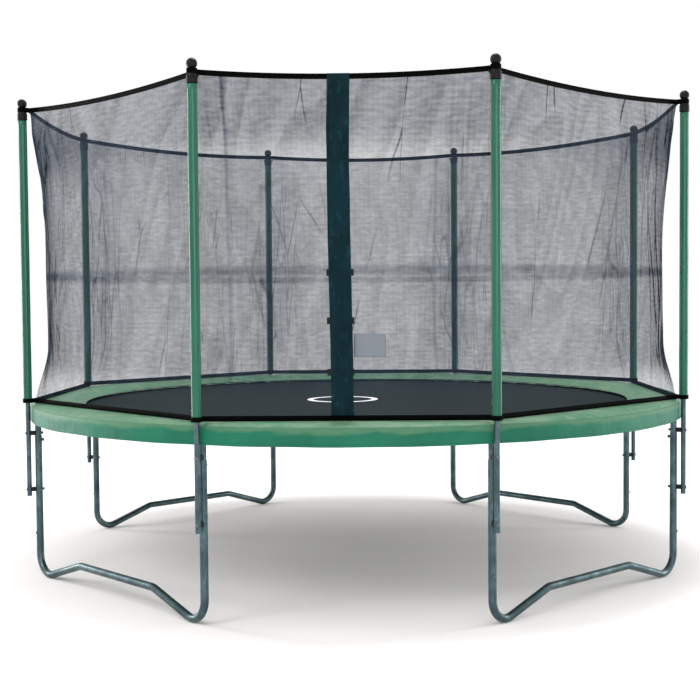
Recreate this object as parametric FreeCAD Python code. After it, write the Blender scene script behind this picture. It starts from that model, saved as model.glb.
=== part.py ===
import FreeCAD, Part
import math
import os

# Round garden trampoline with a safety net: frame ring, four W-shaped legs,
# eight net poles, sprung mat, padded cover and a net with a zipped entry.
# Millimetres, +Z up, origin on the ground at the centre, entry face towards -Y.

# Plan of the eight poles: open faces and leg faces alternate round the ring
POLES = 8
OPEN_FACE_DEG = 42.0
LEG_FACE_DEG = 48.0
FIRST_POLE_DEG = -90.0 - OPEN_FACE_DEG / 2

# Frame ring and its T-shaped leg sockets
FRAME_R = 1819.0
FRAME_Z = 880.0
FRAME_TUBE_R = 21.0
FRAME_WALL = 1.5
RAIL_GAP_DEG = 0.1
SOCKET_BORE_R = 21.4
SOCKET_R = 23.4
SOCKET_HALF_DEG = 2.4
STUB_R = 16.6
STUB_WALL = 1.6
STUB_BOTTOM_Z = 660.0
BORE_OVERRUN_DEG = 1.0

# Legs
LEG_TUBE_R = 19.0
LEG_WALL = 1.8
UPRIGHT_BOTTOM_Z = 212.0
UPRIGHT_TOP_Z = 758.0
NECK_TOP_Z = 262.0
NECK_R = 16.8
FOOT_BEND_R = 100.0
FOOT_RISE_DEG = 17.35
KNEE_OFFSET = 410.0
KNEE_BEND_R = 60.0
SHOULDER_HEIGHT = 6.0

# Net poles, their foam sleeves and ball-topped caps
POLE_R = 1870.0
POLE_TUBE_R = 12.7
POLE_WALL = 1.2
POLE_BOTTOM_Z = 434.0
POLE_JOIN_Z = 1250.0
POLE_NECK_R = 11.3
POLE_NECK_LENGTH = 110.0
POLE_JOIN_GAP = 1.0
POLE_SHOULDER = 4.0
POLE_TOP_Z = 2484.0
SLEEVE_R = 23.5
SLEEVE_BORE_R = 13.2
SLEEVE_BOTTOM_Z = 935.0
CAP_BOTTOM_Z = 2441.0
CAP_SKIRT_R = 25.8
CAP_SKIRT_TOP_Z = 2474.0
CAP_NECK_R = 16.0
CAP_NECK_Z = 2500.0
CAP_BALL_R = 25.0
CAP_BALL_Z = 2528.0
CAP_BORE_CLEAR = 0.3
CAP_SLEEVE_GAP = 0.5
CAP_ROOF_GAP = 1.0

# Clamps that hold each pole off its leg, and the small screws
CLAMP_Z = (470.0, 773.0)
CLAMP_HEIGHT = 22.0
CLAMP_WIDTH = 24.0
CLAMP_CLEAR = 0.2
HOLE_REACH = 40.0
BOLT_R = 4.0
BOLT_HOLE_R = 4.4
BOLT_HEAD_R = 9.0
BOLT_HEAD_HEIGHT = 5.0
BOLT_TAIL = 3.0
FACE_GAP = 0.3
HEAD_OVERLAP = 1.0
NUT_R = 7.5
NUT_HEIGHT = 7.0
NUT_BORE_CLEAR = 0.1
SCREW_R = 2.5
SCREW_HOLE_R = 2.8
SCREW_HEAD_R = 6.0
SCREW_HEAD_HEIGHT = 4.0
SCREW_LENGTH = 8.0
SCREW_FACE_GAP = 0.1
BASE_SCREW_Z = 232.0
LOCK_SCREW_Z = 736.0
LOCK_HEAD_R = 8.0
LOCK_HEAD_HEIGHT = 11.0

# Jumping mat, hem, V-rings and springs
MAT_R = 1600.0
MAT_TOP_Z = 890.0
MAT_THICK = 2.0
HEM_WIDTH = 45.0
HEM_THICK = 3.0
SPRINGS = 72
RING_WIRE_R = 2.0
RING_Z = 885.6
RING_BASE_R = 1588.0
RING_APEX_R = 1630.0
RING_HALF_WIDTH = 17.0
SPRING_R = 10.0
SPRING_BORE_R = 7.5
SPRING_WIRE_R = 1.6
SPRING_CROSS_R = 2.0
SPRING_CROSS_INSET = 0.2
SPRING_BODY_FROM = 1655.0
SPRING_BODY_TO = 1775.0
SPRING_FROM = 1633.5
SPRING_TO = 1796.0

# Padded cover over the springs and its skirt
PAD_INNER_R = 1550.0
PAD_OUTER_R = 1845.0
PAD_BOTTOM_Z = 905.0
PAD_TOP_Z = 925.0
SKIRT_GAP = 0.3
SKIRT_THICK = 1.5
SKIRT_BOTTOM_Z = 830.0
SKIRT_TOP_Z = 920.0
SEAM_GAP_DEG = 0.05

# Webbing bands along the top and bottom of the net
BAND_R = 1838.0
BAND_THICK = 2.0
BAND_HEIGHT = 25.0
BAND_END_GAP = 3.0
TOP_BAND_Z = 2495.0
TOP_BAND_SAG = 27.0
BOTTOM_BAND_Z = 947.5

# Net: two widths of mesh, drawn in between the poles at half height
NET_THICK = 2.0
NET_POST_R = 1828.0
NET_WAIST_R = 1757.0
NET_SET_IN = 8.0
NET_WAIST_MID_R = 1716.0
NET_TOP_Z = 2455.0
NET_SEAM_Z = 1610.0
NET_FLARE_Z = 1200.0
NET_BOTTOM_Z = 962.0
NET_PANEL_GAP = 2.0

# Entry: zip, slider, three buckles and the flap over them
ENTRY_X = -22.0
FLAP_WIDTH = 100.0
FLAP_THICK = 1.5
FLAP_BOTTOM_Z = 960.0
FLAP_TOP_Z = 2481.0
FLAP_SET_OUT = 12.0
ZIP_WIDTH = 30.0
ZIP_THICK = 1.5
ZIP_SET_IN = 6.5
ZIP_BOTTOM_Z = 975.0
ZIP_TOP_Z = 2440.0
SLIDER_Z = 1000.0
SLIDER_WIDTH = 12.0
SLIDER_HEIGHT = 18.0
SLIDER_DEPTH = 5.0
SLIDER_SET_IN = 4.6
TAB_WIDTH = 8.0
TAB_DEPTH = 1.6
TAB_SET_OUT = 0.6
TAB_DROP = 28.0
TAB_RISE = 10.0
BUCKLE_Z = (1155.0, 1385.0, 1600.0)
BUCKLE_NAMES = ("bottom", "middle", "top")
BUCKLE_HEIGHT = 30.0
BUCKLE_DEPTH = 8.0
BUCKLE_SET_OUT = 3.0
BUCKLE_HALF_SPAN = 61.0
SOCKET_LENGTH = 76.0
TONGUE_BLADE = 34.0
TONGUE_CLEAR = 0.5
TONGUE_ROOT = 2.0
SLOT_DEPTH = 4.0
SLOT_WALL = 4.0
SLOT_SPARE = 4.0

UP = FreeCAD.Vector(0, 0, 1)
CENTRE = FreeCAD.Vector(0, 0, 0)


def vec(x, y, z):
    return FreeCAD.Vector(x, y, z)


def save(name, shape):
    shape.exportStep("parts/" + name + ".step")


def group(solids):
    return Part.makeCompound(solids)


def pole_angles():
    """Angles of the poles in degrees, anticlockwise, starting left of the entry."""
    angles = [FIRST_POLE_DEG]
    for i in range(1, POLES):
        step = OPEN_FACE_DEG if i % 2 else LEG_FACE_DEG
        angles.append(angles[-1] + step)
    return angles


ANGLES = pole_angles()


def face_span(i):
    """Angle of face i, which runs from pole i to the next pole."""
    return LEG_FACE_DEG if i % 2 else OPEN_FACE_DEG


def polar(radius, angle_deg, z=0.0):
    angle = math.radians(angle_deg)
    return vec(radius * math.cos(angle), radius * math.sin(angle), z)


def turned(shape, angle_deg):
    """Copy of a shape turned about the vertical axis of the trampoline."""
    copy = shape.copy()
    copy.rotate(CENTRE, UP, angle_deg)
    return copy


def tube(outer_r, bore_r, bottom_z, top_z, at):
    base = vec(at.x, at.y, bottom_z)
    solid = Part.makeCylinder(outer_r, top_z - bottom_z, base)
    return solid.cut(Part.makeCylinder(bore_r, top_z - bottom_z, base))


def ring_arc(inner_r, outer_r, bottom_z, top_z, span_deg):
    """Part of a flat ring, symmetric about +X."""
    profile = Part.makePolygon([
        vec(inner_r, 0, bottom_z),
        vec(outer_r, 0, bottom_z),
        vec(outer_r, 0, top_z),
        vec(inner_r, 0, top_z),
        vec(inner_r, 0, bottom_z),
    ])
    solid = Part.Face(profile).revolve(CENTRE, UP, span_deg)
    return turned(solid, -span_deg / 2)


def bent_tube(tube_r, span_deg):
    """Solid round bar bent along the frame ring, symmetric about +X."""
    circle = Part.Circle(vec(FRAME_R, 0, FRAME_Z), vec(0, 1, 0), tube_r)
    disc = Part.Face(Part.Wire(circle.toShape()))
    return turned(disc.revolve(CENTRE, UP, span_deg), -span_deg / 2)


def radial_rod(radius, from_r, to_r, z):
    """Round bar along +X from one distance from the centre to another."""
    return Part.makeCylinder(radius, to_r - from_r, vec(from_r, 0, z), vec(1, 0, 0))


def hexagon_prism(corner_r, from_r, to_r, z):
    points = [
        vec(from_r, corner_r * math.cos(math.radians(60 * k)),
            z + corner_r * math.sin(math.radians(60 * k)))
        for k in range(7)
    ]
    return Part.Face(Part.makePolygon(points)).extrude(vec(to_r - from_r, 0, 0))


# Frame ring -----------------------------------------------------------------

def make_frame_rails():
    for i in range(POLES):
        span = face_span(i) - RAIL_GAP_DEG
        rail = bent_tube(FRAME_TUBE_R, span).cut(
            bent_tube(FRAME_TUBE_R - FRAME_WALL, span + BORE_OVERRUN_DEG))
        middle = ANGLES[i] + face_span(i) / 2
        save("frame_rail_%d" % (i + 1), turned(rail, middle))


def make_leg_sockets():
    """T-shaped sockets: a sleeve over two rail ends and a stub into the leg."""
    at = vec(FRAME_R, 0, 0)
    sleeve = bent_tube(SOCKET_R, 2 * SOCKET_HALF_DEG)
    stub = Part.makeCylinder(STUB_R, FRAME_Z - STUB_BOTTOM_Z, vec(at.x, 0, STUB_BOTTOM_Z))
    stub_bore = Part.makeCylinder(
        STUB_R - STUB_WALL, FRAME_Z - STUB_BOTTOM_Z, vec(at.x, 0, STUB_BOTTOM_Z))
    socket = sleeve.fuse(stub)
    socket = socket.cut(bent_tube(SOCKET_BORE_R, 2 * SOCKET_HALF_DEG + BORE_OVERRUN_DEG))
    socket = socket.cut(stub_bore)
    socket = socket.cut(
        radial_rod(BOLT_HOLE_R, FRAME_R - HOLE_REACH, FRAME_R + HOLE_REACH, CLAMP_Z[1]))
    socket = socket.cut(radial_rod(SCREW_HOLE_R, FRAME_R - HOLE_REACH, FRAME_R, LOCK_SCREW_Z))
    save("leg_sockets", group([turned(socket.Solids[0], a) for a in ANGLES]))


# Legs -----------------------------------------------------------------------

def make_leg_uprights():
    at = vec(FRAME_R, 0, 0)
    upright = tube(LEG_TUBE_R, LEG_TUBE_R - LEG_WALL, UPRIGHT_BOTTOM_Z, UPRIGHT_TOP_Z, at)
    upright = upright.cut(
        radial_rod(BOLT_HOLE_R, FRAME_R - HOLE_REACH, FRAME_R + HOLE_REACH, CLAMP_Z[0]))
    upright = upright.cut(radial_rod(SCREW_HOLE_R, FRAME_R - HOLE_REACH, FRAME_R, LOCK_SCREW_Z))
    upright = upright.cut(radial_rod(SCREW_HOLE_R, FRAME_R, FRAME_R + HOLE_REACH, BASE_SCREW_Z))
    for i, angle in enumerate(ANGLES):
        save("leg_upright_%d" % (i + 1), turned(upright, angle))


def tangent_path(points, radii):
    """Wire of straight runs joined by tangent arcs at the inner points."""
    edges = []
    start = points[0]
    for k in range(1, len(points) - 1):
        corner = points[k]
        back = (points[k - 1] - corner).normalize()
        ahead = (points[k + 1] - corner).normalize()
        half = back.getAngle(ahead) / 2
        reach = radii[k - 1] / math.tan(half)
        arc_start = corner + back * reach
        arc_end = corner + ahead * reach
        bisector = (back + ahead).normalize()
        middle = corner + bisector * (radii[k - 1] / math.sin(half) - radii[k - 1])
        edges.append(Part.LineSegment(start, arc_start).toShape())
        edges.append(Part.Arc(arc_start, middle, arc_end).toShape())
        start = arc_end
    edges.append(Part.LineSegment(start, points[-1]).toShape())
    return Part.Wire(edges)


def swept_bar(path, radius, start, direction):
    circle = Part.Wire(Part.Circle(start, direction, radius).toShape())
    return path.makePipeShell([circle], True, True)


def leg_base_path():
    """Path of one W-shaped base in its own plane, lowest point on the ground."""
    rise = math.radians(FOOT_RISE_DEG)
    slope = math.tan(rise)
    corner_z = LEG_TUBE_R - FOOT_BEND_R * (slope + 1 / math.cos(rise) - 1)
    knee_z = corner_z + KNEE_OFFSET * slope
    half = FRAME_R * math.sin(math.radians(LEG_FACE_DEG / 2))
    distance = FRAME_R * math.cos(math.radians(LEG_FACE_DEG / 2))
    top_z = UPRIGHT_BOTTOM_Z
    points = [
        vec(distance, -half, top_z),
        vec(distance, -half, corner_z),
        vec(distance, -half + KNEE_OFFSET, knee_z),
        vec(distance, half - KNEE_OFFSET, knee_z),
        vec(distance, half, corner_z),
        vec(distance, half, top_z),
    ]
    radii = [FOOT_BEND_R, KNEE_BEND_R, KNEE_BEND_R, FOOT_BEND_R]
    return tangent_path(points, radii), points


def make_leg_bases():
    path, points = leg_base_path()
    outer = swept_bar(path, LEG_TUBE_R, points[0], vec(0, 0, -1))
    bore = swept_bar(path, LEG_TUBE_R - LEG_WALL, points[0], vec(0, 0, -1))
    bar = outer.cut(bore)
    for end in (points[0], points[-1]):
        shoulder_z = end.z - SHOULDER_HEIGHT
        shoulder = tube(LEG_TUBE_R, NECK_R - LEG_WALL, shoulder_z, end.z, end)
        neck = tube(NECK_R, NECK_R - LEG_WALL, shoulder_z, NECK_TOP_Z, end)
        bar = bar.fuse(shoulder.fuse(neck))
    # screw holes face away from the trampoline's centre at each upright
    for side in (-1, 1):
        hole = radial_rod(SCREW_HOLE_R, FRAME_R, FRAME_R + HOLE_REACH, BASE_SCREW_Z)
        bar = bar.cut(turned(hole, side * LEG_FACE_DEG / 2))
    solid = bar.removeSplitter().Solids[0]
    for k in range(POLES // 2):
        first = 2 * k + 1
        save("leg_base_%d" % (k + 1), turned(solid, ANGLES[first] + LEG_FACE_DEG / 2))


# Net poles ------------------------------------------------------------------

def make_poles():
    at = vec(POLE_R, 0, 0)
    lower = tube(POLE_TUBE_R, POLE_TUBE_R - POLE_WALL, POLE_BOTTOM_Z, POLE_JOIN_Z, at)
    for z in CLAMP_Z:
        lower = lower.cut(radial_rod(BOLT_HOLE_R, POLE_R - HOLE_REACH, POLE_R + HOLE_REACH, z))
    neck_bottom = POLE_JOIN_Z - POLE_NECK_LENGTH
    neck_bore = POLE_NECK_R - POLE_WALL
    upper_bottom = POLE_JOIN_Z + POLE_JOIN_GAP
    shoulder_top = upper_bottom + POLE_SHOULDER
    upper = tube(POLE_TUBE_R, POLE_TUBE_R - POLE_WALL, upper_bottom, POLE_TOP_Z, at)
    upper = upper.fuse(tube(POLE_NECK_R, neck_bore, neck_bottom, shoulder_top, at))
    upper = upper.fuse(tube(POLE_TUBE_R, neck_bore, upper_bottom, shoulder_top, at))
    sleeve = tube(SLEEVE_R, SLEEVE_BORE_R, SLEEVE_BOTTOM_Z, CAP_BOTTOM_Z - CAP_SLEEVE_GAP, at)
    for i, angle in enumerate(ANGLES):
        save("pole_lower_%d" % (i + 1), turned(lower, angle))
        save("foam_sleeve_%d" % (i + 1), turned(sleeve, angle))
    upper_solid = upper.removeSplitter().Solids[0]
    save("pole_upper_tubes", group([turned(upper_solid, a) for a in ANGLES]))


def make_pole_caps():
    """Cap: straight skirt, cone, short neck and a ball on top."""
    drop = math.sqrt(CAP_BALL_R ** 2 - CAP_NECK_R ** 2)
    neck_top = vec(CAP_NECK_R, 0, CAP_BALL_Z - drop)
    edges = Part.makePolygon([
        vec(0, 0, CAP_BALL_Z + CAP_BALL_R),
        vec(0, 0, CAP_BOTTOM_Z),
        vec(CAP_SKIRT_R, 0, CAP_BOTTOM_Z),
        vec(CAP_SKIRT_R, 0, CAP_SKIRT_TOP_Z),
        vec(CAP_NECK_R, 0, CAP_NECK_Z),
        neck_top,
    ]).Edges
    ball_side = vec(CAP_BALL_R, 0, CAP_BALL_Z)
    ball_top = vec(0, 0, CAP_BALL_Z + CAP_BALL_R)
    edges.append(Part.Arc(neck_top, ball_side, ball_top).toShape())
    cap = Part.Face(Part.Wire(edges)).revolve(CENTRE, UP, 360)
    bore_r = POLE_TUBE_R + CAP_BORE_CLEAR
    bore_height = POLE_TOP_Z + CAP_ROOF_GAP - CAP_BOTTOM_Z
    cap = cap.cut(Part.makeCylinder(bore_r, bore_height, vec(0, 0, CAP_BOTTOM_Z)))
    cap.translate(vec(POLE_R, 0, 0))
    save("pole_caps", group([turned(cap.Solids[0], a) for a in ANGLES]))


# Clamps and screws ----------------------------------------------------------

def leg_radius_at(z):
    return STUB_R if z > UPRIGHT_TOP_Z else LEG_TUBE_R


def clamp_spacer(z):
    """Saddle block between a leg and its pole."""
    low = z - CLAMP_HEIGHT / 2
    block = Part.makeBox(
        POLE_R - FRAME_R, CLAMP_WIDTH, CLAMP_HEIGHT, vec(FRAME_R, -CLAMP_WIDTH / 2, low))
    leg_r = leg_radius_at(z) + CLAMP_CLEAR
    pole_r = POLE_TUBE_R + CLAMP_CLEAR
    block = block.cut(Part.makeCylinder(leg_r, CLAMP_HEIGHT, vec(FRAME_R, 0, low)))
    block = block.cut(Part.makeCylinder(pole_r, CLAMP_HEIGHT, vec(POLE_R, 0, low)))
    return block.cut(radial_rod(BOLT_HOLE_R, FRAME_R, POLE_R, z))


def clamp_bolt(z):
    """Coach bolt with a low domed head outside the pole."""
    inner = FRAME_R - leg_radius_at(z) - NUT_HEIGHT - BOLT_TAIL
    outer = POLE_R + POLE_TUBE_R + FACE_GAP
    dome_r = (BOLT_HEAD_R ** 2 + BOLT_HEAD_HEIGHT ** 2) / (2 * BOLT_HEAD_HEIGHT)
    dome = Part.makeSphere(dome_r, vec(outer + BOLT_HEAD_HEIGHT - dome_r, 0, z))
    head = dome.common(radial_rod(BOLT_HEAD_R, outer, outer + 2 * BOLT_HEAD_HEIGHT, z))
    return head.fuse(radial_rod(BOLT_R, inner, outer + HEAD_OVERLAP, z)).removeSplitter()


def clamp_nut(z):
    face = FRAME_R - leg_radius_at(z) - FACE_GAP
    nut = hexagon_prism(NUT_R, face - NUT_HEIGHT, face, z)
    return nut.cut(radial_rod(BOLT_R + NUT_BORE_CLEAR, face - NUT_HEIGHT, face, z))


def base_screw():
    face = FRAME_R + LEG_TUBE_R + SCREW_FACE_GAP
    head = hexagon_prism(SCREW_HEAD_R, face, face + SCREW_HEAD_HEIGHT, BASE_SCREW_Z)
    shank = radial_rod(SCREW_R, face - SCREW_LENGTH, face + HEAD_OVERLAP, BASE_SCREW_Z)
    return head.fuse(shank).removeSplitter()


def lock_screw():
    face = FRAME_R - LEG_TUBE_R - SCREW_FACE_GAP
    head = hexagon_prism(LOCK_HEAD_R, face - LOCK_HEAD_HEIGHT, face, LOCK_SCREW_Z)
    shank = radial_rod(SCREW_R, face - HEAD_OVERLAP, face + SCREW_LENGTH, LOCK_SCREW_Z)
    return head.fuse(shank).removeSplitter()


def make_fasteners():
    pairs = [(a, z) for a in ANGLES for z in CLAMP_Z]
    save("clamp_spacers", group([turned(clamp_spacer(z), a) for a, z in pairs]))
    save("clamp_bolts", group([turned(clamp_bolt(z).Solids[0], a) for a, z in pairs]))
    save("clamp_nuts", group([turned(clamp_nut(z), a) for a, z in pairs]))
    screws = [base_screw().Solids[0], lock_screw().Solids[0]]
    save("leg_screws", group([turned(screw, a) for a in ANGLES for screw in screws]))


# Mat and springs ------------------------------------------------------------

def v_ring():
    """Triangle of wire: its base lies under the mat's hem, its apex takes a hook."""
    corners = [
        vec(RING_BASE_R, -RING_HALF_WIDTH, RING_Z),
        vec(RING_APEX_R, 0, RING_Z),
        vec(RING_BASE_R, RING_HALF_WIDTH, RING_Z),
    ]
    ring = None
    for k in range(3):
        start = corners[k]
        run = corners[(k + 1) % 3] - start
        side = Part.makeCylinder(RING_WIRE_R, run.Length, start, run)
        side = side.fuse(Part.makeSphere(RING_WIRE_R, start))
        ring = side if ring is None else ring.fuse(side)
    return ring.removeSplitter().Solids[0]


def spring():
    """Tube of the coil's size and mass, with a cross bar and a hook rod at each end."""
    body = radial_rod(SPRING_R, SPRING_BODY_FROM, SPRING_BODY_TO, RING_Z)
    body = body.cut(radial_rod(SPRING_BORE_R, SPRING_BODY_FROM, SPRING_BODY_TO, RING_Z))
    reach = SPRING_R - SPRING_WIRE_R
    inset = SPRING_CROSS_R + SPRING_CROSS_INSET
    for end in (SPRING_BODY_FROM + inset, SPRING_BODY_TO - inset):
        body = body.fuse(Part.makeCylinder(
            SPRING_CROSS_R, 2 * reach, vec(end, -reach, RING_Z), vec(0, 1, 0)))
    inner_rod = radial_rod(SPRING_WIRE_R, SPRING_FROM, SPRING_BODY_FROM + SPRING_WIRE_R, RING_Z)
    outer_rod = radial_rod(SPRING_WIRE_R, SPRING_BODY_TO - SPRING_WIRE_R, SPRING_TO, RING_Z)
    return body.fuse(inner_rod).fuse(outer_rod).Solids[0]


def make_mat_and_springs():
    mat = Part.makeCylinder(MAT_R, MAT_THICK, vec(0, 0, MAT_TOP_Z - MAT_THICK))
    save("jumping_mat", mat)
    hem = tube(MAT_R, MAT_R - HEM_WIDTH, MAT_TOP_Z, MAT_TOP_Z + HEM_THICK, CENTRE)
    save("mat_hem", hem)
    step = 360.0 / SPRINGS
    ring = v_ring()
    coil = spring()
    save("v_rings", group([turned(ring, step * (k + 0.5)) for k in range(SPRINGS)]))
    save("springs", group([turned(coil, step * (k + 0.5)) for k in range(SPRINGS)]))


def make_pad():
    sectors = []
    skirts = []
    skirt_inner = PAD_OUTER_R + SKIRT_GAP
    for i in range(POLES):
        span = face_span(i) - SEAM_GAP_DEG
        middle = ANGLES[i] + face_span(i) / 2
        sector = ring_arc(PAD_INNER_R, PAD_OUTER_R, PAD_BOTTOM_Z, PAD_TOP_Z, span)
        skirt = ring_arc(
            skirt_inner, skirt_inner + SKIRT_THICK, SKIRT_BOTTOM_Z, SKIRT_TOP_Z, span)
        sectors.append(turned(sector, middle))
        skirts.append(turned(skirt, middle))
    save("safety_pad", group(sectors))
    save("pad_skirt", group(skirts))


# Net and webbing ------------------------------------------------------------

def band_distance(i):
    """Distance of the bands of face i from the centre; their corners lie on BAND_R."""
    return BAND_R * math.cos(math.radians(face_span(i) / 2))


def band_run(i, centre_z, sag):
    """Straight band from pole to pole, facing +X before it is turned."""
    distance = band_distance(i) - BAND_THICK / 2
    half = BAND_R * math.sin(math.radians(face_span(i) / 2)) - BAND_END_GAP
    low = centre_z - BAND_HEIGHT / 2
    high = centre_z + BAND_HEIGHT / 2
    corners = [
        vec(distance, -half, low),
        vec(distance, half, low),
        vec(distance, half, high),
        vec(distance, -half, high),
    ]
    if sag:
        lower = Part.Arc(corners[0], vec(distance, 0, low - sag), corners[1])
        upper = Part.Arc(corners[2], vec(distance, 0, high - sag), corners[3])
    else:
        lower = Part.LineSegment(corners[0], corners[1])
        upper = Part.LineSegment(corners[2], corners[3])
    right = Part.LineSegment(corners[1], corners[2])
    left = Part.LineSegment(corners[3], corners[0])
    outline = Part.Wire([side.toShape() for side in (lower, right, upper, left)])
    return Part.Face(outline).extrude(vec(BAND_THICK, 0, 0))


def make_webbing():
    top = []
    bottom = []
    for i in range(POLES):
        middle = ANGLES[i] + face_span(i) / 2
        top.append(turned(band_run(i, TOP_BAND_Z, TOP_BAND_SAG), middle))
        bottom.append(turned(band_run(i, BOTTOM_BAND_Z, 0), middle))
    save("top_webbing", group(top))
    save("bottom_webbing", group(bottom))


def net_profile(i, side, z, post_r, middle_distance):
    """Thin four-sided outline of half a face at one height, facing +X."""
    half_angle = math.radians(face_span(i) / 2)
    # the two halves of the entry face meet at the zip, beside its middle
    join_y = ENTRY_X if i == 0 else 0.0
    post = vec(post_r * math.cos(half_angle), side * post_r * math.sin(half_angle), z)
    middle = vec(middle_distance, join_y, z)
    along = (middle - post).normalize()
    inward = vec(-NET_THICK, 0, 0)
    post = post + along * NET_PANEL_GAP
    middle = middle - along * NET_PANEL_GAP
    return Part.makePolygon([post, middle, middle + inward, post + inward, post])


def net_panels(i, side, levels):
    """Half a face of mesh, one flat piece between each level and the next."""
    profiles = [net_profile(i, side, z, post_r, middle) for z, post_r, middle in levels]
    return [Part.makeLoft(list(pair), True, True) for pair in zip(profiles, profiles[1:])]


def make_net():
    upper = []
    lower = []
    for i in range(POLES):
        edge = band_distance(i) - NET_SET_IN
        waist = edge if i == 0 else NET_WAIST_MID_R
        top_level = (NET_TOP_Z, NET_POST_R, edge)
        seam_level = (NET_SEAM_Z, NET_WAIST_R, waist)
        flare_level = (NET_FLARE_Z, NET_WAIST_R, waist)
        bottom_level = (NET_BOTTOM_Z, NET_POST_R, edge)
        middle = ANGLES[i] + face_span(i) / 2
        for side in (-1, 1):
            for panel in net_panels(i, side, [seam_level, top_level]):
                upper.append(turned(panel, middle))
            for panel in net_panels(i, side, [bottom_level, flare_level, seam_level]):
                lower.append(turned(panel, middle))
    save("net_upper", group(upper))
    save("net_lower", group(lower))


# Entry ----------------------------------------------------------------------

def entry_box(width, set_out, depth, bottom_z, top_z, x=ENTRY_X):
    """Upright box on the entry face: set_out is its inner face beyond the bands."""
    outer_y = -(band_distance(0) + set_out + depth)
    return Part.makeBox(width, depth, top_z - bottom_z, vec(x - width / 2, outer_y, bottom_z))


def make_zip():
    save("entry_zip", entry_box(ZIP_WIDTH, -ZIP_SET_IN, ZIP_THICK, ZIP_BOTTOM_Z, ZIP_TOP_Z))
    body = entry_box(
        SLIDER_WIDTH, -SLIDER_SET_IN, SLIDER_DEPTH, SLIDER_Z, SLIDER_Z + SLIDER_HEIGHT)
    tab = entry_box(
        TAB_WIDTH, TAB_SET_OUT, TAB_DEPTH, SLIDER_Z - TAB_DROP, SLIDER_Z + TAB_RISE)
    save("zip_slider", group([body, tab]))


def buckle_socket(left, low, high):
    """Housing with a slot open at its right-hand end."""
    body = entry_box(
        SOCKET_LENGTH, BUCKLE_SET_OUT, BUCKLE_DEPTH, low, high, left + SOCKET_LENGTH / 2)
    slot_length = TONGUE_BLADE + SLOT_SPARE
    slot = entry_box(
        slot_length, BUCKLE_SET_OUT + (BUCKLE_DEPTH - SLOT_DEPTH) / 2, SLOT_DEPTH,
        low + SLOT_WALL, high - SLOT_WALL, left + SOCKET_LENGTH - slot_length / 2)
    return body.cut(slot)


def buckle_tongue(left, low, high):
    """Head that meets the socket's end and a blade that slides in its slot."""
    head_left = left + SOCKET_LENGTH + TONGUE_CLEAR
    head_length = ENTRY_X + BUCKLE_HALF_SPAN - head_left
    head = entry_box(
        head_length, BUCKLE_SET_OUT, BUCKLE_DEPTH, low, high, head_left + head_length / 2)
    blade_length = TONGUE_BLADE + TONGUE_ROOT
    blade_depth = SLOT_DEPTH - 2 * TONGUE_CLEAR
    inset = SLOT_WALL + TONGUE_CLEAR
    blade = entry_box(
        blade_length, BUCKLE_SET_OUT + (BUCKLE_DEPTH - blade_depth) / 2, blade_depth,
        low + inset, high - inset, head_left + TONGUE_ROOT / 2 - blade_length / 2)
    return head.fuse(blade).removeSplitter()


def make_buckles():
    """Side-release buckles behind the flap: a fixed socket and a tongue that slides out."""
    left = ENTRY_X - BUCKLE_HALF_SPAN
    sockets = []
    for name, z in zip(BUCKLE_NAMES, BUCKLE_Z):
        low = z - BUCKLE_HEIGHT / 2
        high = z + BUCKLE_HEIGHT / 2
        sockets.append(buckle_socket(left, low, high))
        save("buckle_tongue_" + name, buckle_tongue(left, low, high))
    save("buckle_sockets", group(sockets))


def make_flap():
    save("entry_flap", entry_box(
        FLAP_WIDTH, FLAP_SET_OUT, FLAP_THICK, FLAP_BOTTOM_Z, FLAP_TOP_Z))


os.makedirs("parts", exist_ok=True)
make_frame_rails()
make_leg_sockets()
make_leg_uprights()
make_leg_bases()
make_poles()
make_pole_caps()
make_fasteners()
make_mat_and_springs()
make_pad()
make_webbing()
make_net()
make_zip()
make_buckles()
make_flap()
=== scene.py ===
"""Looks of the garden trampoline, in metres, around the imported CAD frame."""
import math

import bmesh
import bpy
from mathutils import Matrix, Vector, noise


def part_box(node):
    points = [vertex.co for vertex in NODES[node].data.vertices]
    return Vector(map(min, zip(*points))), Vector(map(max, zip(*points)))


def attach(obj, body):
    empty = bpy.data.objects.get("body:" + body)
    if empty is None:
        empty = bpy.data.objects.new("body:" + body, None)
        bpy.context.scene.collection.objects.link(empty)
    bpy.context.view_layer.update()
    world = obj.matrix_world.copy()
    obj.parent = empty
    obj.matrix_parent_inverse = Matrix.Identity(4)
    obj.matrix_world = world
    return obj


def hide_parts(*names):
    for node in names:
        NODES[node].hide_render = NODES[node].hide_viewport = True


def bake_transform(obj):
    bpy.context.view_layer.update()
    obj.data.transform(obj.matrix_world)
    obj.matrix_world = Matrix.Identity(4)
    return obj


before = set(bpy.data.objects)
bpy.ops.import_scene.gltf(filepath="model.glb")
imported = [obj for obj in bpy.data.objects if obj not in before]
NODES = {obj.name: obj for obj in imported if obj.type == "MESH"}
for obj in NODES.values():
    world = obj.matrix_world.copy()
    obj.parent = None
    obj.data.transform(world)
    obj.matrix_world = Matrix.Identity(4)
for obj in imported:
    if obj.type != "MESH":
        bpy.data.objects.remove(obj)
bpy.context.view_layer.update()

# ---- dimensions
# Plan of the poles, as in the CAD model: open and leg faces alternate.
POLES = 8
OPEN_FACE = math.radians(42.0)
LEG_FACE = math.radians(48.0)
FIRST_POLE = math.radians(-90.0) - OPEN_FACE / 2
BAND_R = 1.838
BAND_THICK = 0.002
SPRINGS = 72


def node_span(name, axis):
    low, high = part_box(name)
    return low[axis], high[axis]


def node_size(name, axis):
    low, high = node_span(name, axis)
    return high - low


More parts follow.
